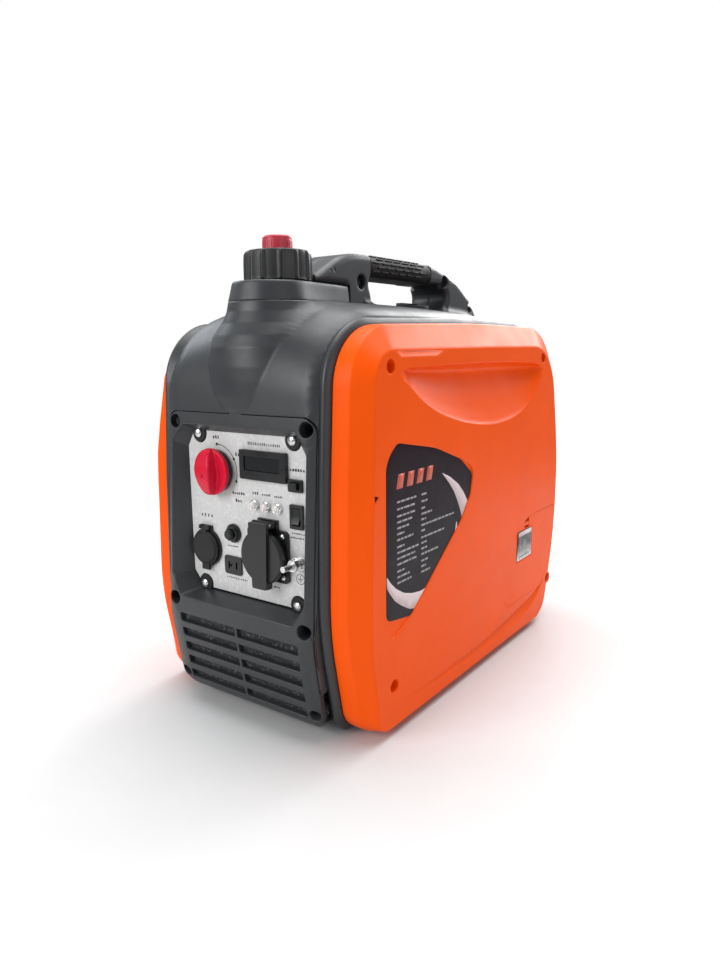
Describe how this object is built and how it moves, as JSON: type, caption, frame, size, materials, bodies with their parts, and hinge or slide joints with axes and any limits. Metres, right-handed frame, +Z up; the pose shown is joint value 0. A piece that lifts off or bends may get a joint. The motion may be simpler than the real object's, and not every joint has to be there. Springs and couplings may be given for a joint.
{
  "type": "portable generator",
  "caption": "Suitcase-style inverter generator with carrying handle, control panel, side covers and recoil starter.",
  "frame": {"origin": "centre of the bounding box's bottom face, on the ground between the feet", "axes": "+X the side with the service door, -Y the control panel, +Z up; +Y is the length"},
  "size_m": [0.252, 0.4669, 0.4243],
  "materials": {
    "black_plastic": "fine moulded texture",
    "charcoal_plastic": "fine moulded texture, slight sheen",
    "orange_plastic": "satin moulded texture",
    "rubber_black": "matt rubber",
    "panel_print": "printed plate, brushed silver",
    "red_plastic": "gloss",
    "red_vent": "satin",
    "screw_steel": "bright zinc",
    "dark_steel": "dark",
    "switch_black": "satin gloss",
    "display_glass": "gloss",
    "lamp_chrome": "bright",
    "lamp_lens": "clear, tinted",
    "socket_black": "satin",
    "decal_film": "printed film",
    "info_film": "printed metallic film",
    "rope_fibre": "braided cord",
    "pulley_plastic": "natural nylon",
    "cast_aluminium": "as cast",
    "machined_steel": "machined",
    "rotor_iron": "dark",
    "copper_winding": "enamelled copper",
    "ceramic_white": "glazed ceramic and rubber boot",
    "muffler_steel": "heat-stained",
    "tank_plastic": "blow-moulded",
    "filter_plastic": "moulded",
    "pot_metal": "die cast"
  },
  "bodies": {
    "housing": {"base_pan": "black_plastic", "feet": "rubber_black", "front_frame": "black_plastic", "top_shell": "charcoal_plastic", "rear_frame": "black_plastic", "right_cover": "orange_plastic", "left_cover": "orange_plastic", "rim_strips": "charcoal_plastic", "neck_collar": "charcoal_plastic", "handle_left": "charcoal_plastic", "handle_right": "charcoal_plastic", "handle_grip": "rubber_black", "filler_gasket": "rubber_black", "control_plate": "panel_print", "panel_screws": "screw_steel", "plate_grommets": "rubber_black", "meter_bezel": "switch_black", "meter_window": "display_glass", "reset_switch_body": "switch_black", "lamp_bezels": "lamp_chrome", "lamp_lenses": "lamp_lens", "eco_switch_body": "switch_black", "usb_socket": "socket_black", "breaker_body": "socket_black", "dc_socket": "socket_black", "ac_socket": "socket_black", "ac_hinge_pin": "machined_steel", "ground_stud": "screw_steel", "case_screws": "dark_steel", "decal_plate": "decal_film", "starter_housing": "black_plastic", "stator": "copper_winding", "engine_block": "cast_aluminium", "cylinder_head": "cast_aluminium", "spark_plug": "ceramic_white", "muffler": "muffler_steel", "fuel_tank": "tank_plastic", "inverter_unit": "cast_aluminium", "air_filter_box": "filter_plastic", "carburettor": "pot_metal", "engine_mounts": "rubber_black"},
    "knob": {"control_knob": "red_plastic"},
    "cap_plug": {"fuel_cap_plug": "black_plastic"},
    "cap": {"fuel_cap": "black_plastic"},
    "cap_vent": {"fuel_cap_vent": "red_vent"},
    "ac_cover": {"ac_lid": "socket_black"},
    "usb_cover": {"usb_cap": "rubber_black"},
    "breaker": {"breaker_button": "switch_black"},
    "reset": {"reset_button": "switch_black"},
    "eco_switch": {"eco_rocker": "switch_black"},
    "grip": {"starter_grip": "rubber_black", "starter_rope": "rope_fibre"},
    "pulley": {"starter_pulley": "pulley_plastic"},
    "crank": {"crankshaft": "machined_steel", "rotor_fan": "rotor_iron"},
    "door": {"service_door": "orange_plastic", "info_plate": "info_film"},
    "catch": {"door_latch": "orange_plastic"},
    "plug_lid": {"plug_access_lid": "black_plastic"},
    "earth_nut": {"ground_nut": "screw_steel"}
  },
  "joints": [
    {"name": "knob_turn", "type": "hinge", "parent": "housing", "child": "knob", "pos_m": [-0.0339, -0.209, 0.2233], "axis": [0, 1, 0], "range_deg": [0, 110]},
    {"name": "cap_lift", "type": "slide", "parent": "housing", "child": "cap_plug", "axis": [0, 0, 1], "range_m": [0, 0.06]},
    {"name": "cap_turn", "type": "hinge", "parent": "cap_plug", "child": "cap", "pos_m": [0, -0.159, 0.39], "axis": [0, 0, 1], "range_deg": [0, 90]},
    {"name": "vent_turn", "type": "hinge", "parent": "cap", "child": "cap_vent", "pos_m": [0, -0.159, 0.412], "axis": [0, 0, -1], "range_deg": [0, 90]},
    {"name": "ac_lid_open", "type": "hinge", "parent": "housing", "child": "ac_cover", "pos_m": [0.0255, -0.2185, 0.184], "axis": [-1, 0, 0], "range_deg": [0, 105], "stiffness_Nm_per_rad": 0.02, "springref_deg": -22.92},
    {"name": "usb_cap_open", "type": "hinge", "parent": "housing", "child": "usb_cover", "pos_m": [-0.051, -0.213, 0.1702], "axis": [-1, 0, 0], "range_deg": [0, 110]},
    {"name": "breaker_press", "type": "slide", "parent": "housing", "child": "breaker", "axis": [0, 1, 0], "range_m": [0, 0.003], "stiffness_N_per_m": 600, "springref_m": -0.003},
    {"name": "reset_press", "type": "slide", "parent": "housing", "child": "reset", "axis": [0, 1, 0], "range_m": [0, 0.002], "stiffness_N_per_m": 500, "springref_m": -0.002},
    {"name": "eco_switch_rock", "type": "hinge", "parent": "housing", "child": "eco_switch", "pos_m": [0.0576, -0.209, 0.1925], "axis": [1, 0, 0], "range_deg": [0, 20]},
    {"name": "starter_pull", "type": "slide", "parent": "housing", "child": "grip", "axis": [-1, 0, 0], "range_m": [0, 0.5], "stiffness_N_per_m": 12, "springref_m": -0.3, "deforming": ["starter_rope"]},
    {"name": "pulley_spin", "type": "hinge", "parent": "housing", "child": "pulley", "pos_m": [0, -0.113, 0.12], "axis": [0, 1, 0], "range_deg": [-700, 10]},
    {"name": "crank_spin", "type": "hinge", "parent": "housing", "child": "crank", "pos_m": [0, 0, 0.12], "axis": [0, 1, 0], "continuous": true},
    {"name": "door_swing", "type": "hinge", "parent": "housing", "child": "door", "pos_m": [0.1245, 0.1, 0.0459], "axis": [0, 1, 0], "range_deg": [0, 90]},
    {"name": "catch_press", "type": "slide", "parent": "door", "child": "catch", "axis": [0, 0, -1], "range_m": [0, 0.002], "stiffness_N_per_m": 200, "springref_m": -0.003},
    {"name": "plug_lid_lift", "type": "slide", "parent": "housing", "child": "plug_lid", "axis": [0, 0, 1], "range_m": [0, 0.014]},
    {"name": "earth_nut_turn", "type": "hinge", "parent": "housing", "child": "earth_nut", "pos_m": [0.0598, -0.209, 0.1536], "axis": [0, 1, 0], "range_deg": [0, 360]}
  ],
  "couplings": [
    {"joint": "pulley_spin", "follows": "starter_pull", "rad_per_m": -22.222}
  ]
}
